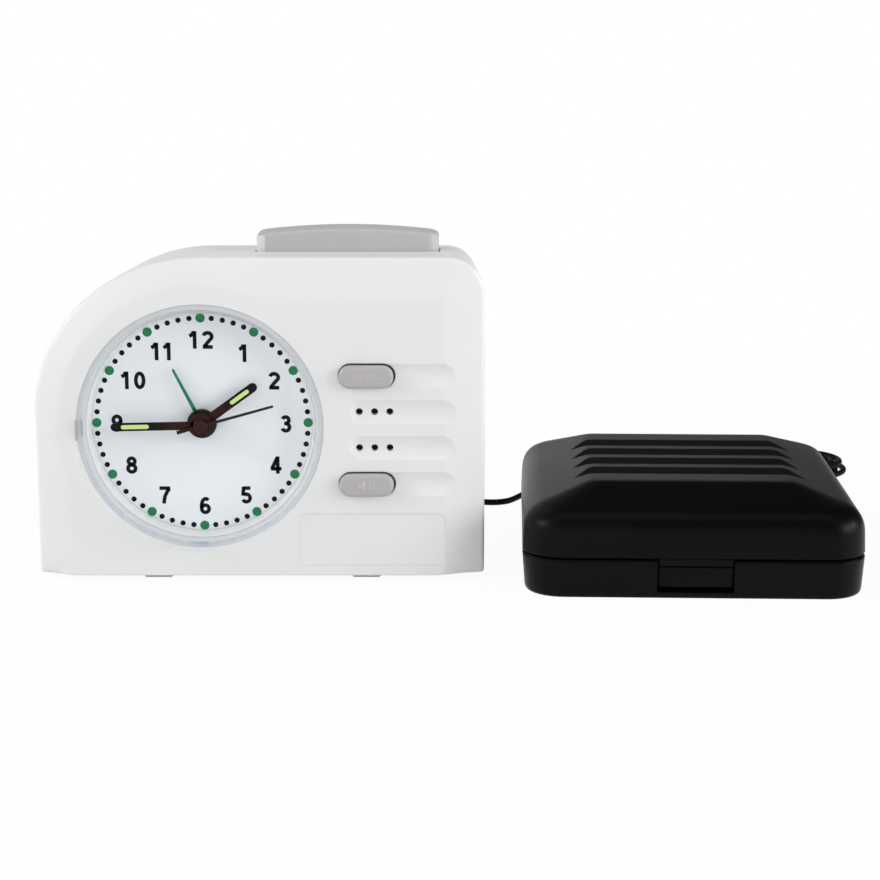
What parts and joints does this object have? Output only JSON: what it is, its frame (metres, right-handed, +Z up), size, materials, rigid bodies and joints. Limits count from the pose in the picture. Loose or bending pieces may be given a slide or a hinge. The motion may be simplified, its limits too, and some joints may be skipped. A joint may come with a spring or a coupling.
{
  "type": "vibrating alarm clock",
  "caption": "White analogue alarm clock with a round shoulder, dial, push-buttons and snooze bar, joined by a cord to a black pillow vibrator box with a ribbed hinged lid.",
  "frame": {"origin": "on the table, under the middle of the bounding box of the clock and the vibrator box, without the cord", "axes": "+X to the viewer's right along the row of clock and box, +Y away from the viewer, who faces the dial, +Z up"},
  "size_m": [0.2623, 0.1845, 0.1004],
  "materials": {
    "white_plastic": "satin moulded ABS",
    "grey_plastic": "satin moulded ABS",
    "clear_plastic": "clear polished plastic",
    "dial_print": "printed paper on plastic",
    "hand_metal": "dark lacquer",
    "lume_paint": "pale green luminous paint",
    "green_paint": "green lacquer",
    "gear_plastic": "natural acetal",
    "circuit_board": "solder mask",
    "steel": "plain",
    "copper": "enamelled wire",
    "brass": "plain",
    "black_plastic": "satin moulded ABS",
    "black_rubber": "soft PVC",
    "cell_sleeve": "plain sleeve"
  },
  "bodies": {
    "clock_and_box": {"front_case": "white_plastic", "rear_case": "white_plastic", "dial_spacer": "white_plastic", "dial_crystal": "clear_plastic", "dial_plate": "dial_print", "movement_plate": "gear_plastic", "movement_cover": "gear_plastic", "control_board": "circuit_board", "snooze_board": "circuit_board", "case_screw_1": "steel", "case_screw_2": "steel", "case_screw_3": "steel", "case_screw_4": "steel", "step_motor": "steel", "contact_lower": "steel", "contact_upper": "steel", "lid_hinge_pin": "steel", "vibrator_motor": "steel", "motor_strap": "steel", "strap_screw_1": "steel", "strap_screw_2": "steel", "plug_tip": "steel", "motor_coil": "copper", "upper_button_switch": "black_plastic", "lower_button_switch": "black_plastic", "snooze_switch": "black_plastic", "sounder": "black_plastic", "jack_socket": "black_plastic", "vibrator_base": "black_plastic", "cord_grommet": "black_rubber", "cord_plug": "black_rubber", "cord_hank": "black_rubber", "cord_tie": "black_rubber", "cord_to_clock": "black_rubber", "cord_to_box": "black_rubber", "battery_1": "cell_sleeve", "battery_2": "cell_sleeve"},
    "minute": {"minute_hand": "hand_metal", "minute_hand_lume": "lume_paint", "cannon_pinion": "brass"},
    "hour": {"hour_hand": "hand_metal", "hour_hand_lume": "lume_paint", "hour_wheel": "gear_plastic"},
    "second": {"second_hand": "hand_metal", "second_arbor": "steel"},
    "alarm": {"alarm_hand": "green_paint", "alarm_wheel": "gear_plastic"},
    "time_setter": {"motion_wheel": "gear_plastic", "time_knob": "grey_plastic"},
    "alarm_setter": {"alarm_stem": "gear_plastic", "alarm_knob": "grey_plastic"},
    "snooze": {"snooze_bar": "grey_plastic"},
    "upper_push": {"upper_button": "grey_plastic"},
    "lower_push": {"lower_button": "grey_plastic"},
    "door": {"battery_door": "white_plastic"},
    "lid": {"vibrator_lid": "black_plastic", "latch_pin": "steel"},
    "latch": {"lid_latch": "black_plastic"},
    "shaker": {"eccentric_weight": "brass"}
  },
  "joints": [
    {"name": "minute_turn", "type": "hinge", "parent": "clock_and_box", "child": "minute", "pos_m": [-0.07293, -0.03719, 0.0458], "axis": [0, 1, 0], "continuous": true},
    {"name": "hour_turn", "type": "hinge", "parent": "clock_and_box", "child": "hour", "pos_m": [-0.07293, -0.03719, 0.0458], "axis": [0, 1, 0], "continuous": true},
    {"name": "second_turn", "type": "hinge", "parent": "clock_and_box", "child": "second", "pos_m": [-0.07293, -0.03719, 0.0458], "axis": [0, 1, 0], "continuous": true},
    {"name": "time_knob_turn", "type": "hinge", "parent": "clock_and_box", "child": "time_setter", "pos_m": [-0.06094, 0.01381, 0.0458], "axis": [0, 1, 0], "continuous": true},
    {"name": "alarm_knob_turn", "type": "hinge", "parent": "clock_and_box", "child": "alarm_setter", "pos_m": [-0.07293, 0.01381, 0.0328], "axis": [0, 1, 0], "continuous": true},
    {"name": "alarm_turn", "type": "hinge", "parent": "clock_and_box", "child": "alarm", "pos_m": [-0.07293, -0.03719, 0.0458], "axis": [0, 1, 0], "continuous": true},
    {"name": "snooze_press", "type": "slide", "parent": "clock_and_box", "child": "snooze", "axis": [0, 0, -1], "range_m": [0, 0.002], "stiffness_N_per_m": 300, "springref_m": -0.002},
    {"name": "upper_press", "type": "slide", "parent": "clock_and_box", "child": "upper_push", "axis": [0, 1, 0], "range_m": [0, 0.0012], "stiffness_N_per_m": 300, "springref_m": -0.001},
    {"name": "lower_press", "type": "slide", "parent": "clock_and_box", "child": "lower_push", "axis": [0, 1, 0], "range_m": [0, 0.0012], "stiffness_N_per_m": 300, "springref_m": -0.001},
    {"name": "door_swing", "type": "hinge", "parent": "clock_and_box", "child": "door", "pos_m": [-0.01793, 0.01371, 0.015], "axis": [-1, 0, 0], "range_deg": [0, 75]},
    {"name": "lid_swing", "type": "hinge", "parent": "clock_and_box", "child": "lid", "pos_m": [0.07189, 0.04965, 0.01137], "axis": [-0.9995, 0.0332, 0], "range_deg": [0, 100]},
    {"name": "latch_swing", "type": "hinge", "parent": "lid", "child": "latch", "pos_m": [0.06851, -0.05209, 0.0086], "axis": [-0.9995, 0.0332, 0], "range_deg": [0, 30]},
    {"name": "shaker_spin", "type": "hinge", "parent": "clock_and_box", "child": "shaker", "pos_m": [0.07015, -0.00252, 0.0116], "axis": [0.9995, -0.0332, 0], "continuous": true}
  ],
  "couplings": [
    {"joint": "hour_turn", "follows": "minute_turn", "ratio": 0.083333},
    {"joint": "time_knob_turn", "follows": "minute_turn", "ratio": -0.33333},
    {"joint": "alarm_turn", "follows": "alarm_knob_turn", "ratio": -0.33333}
  ]
}
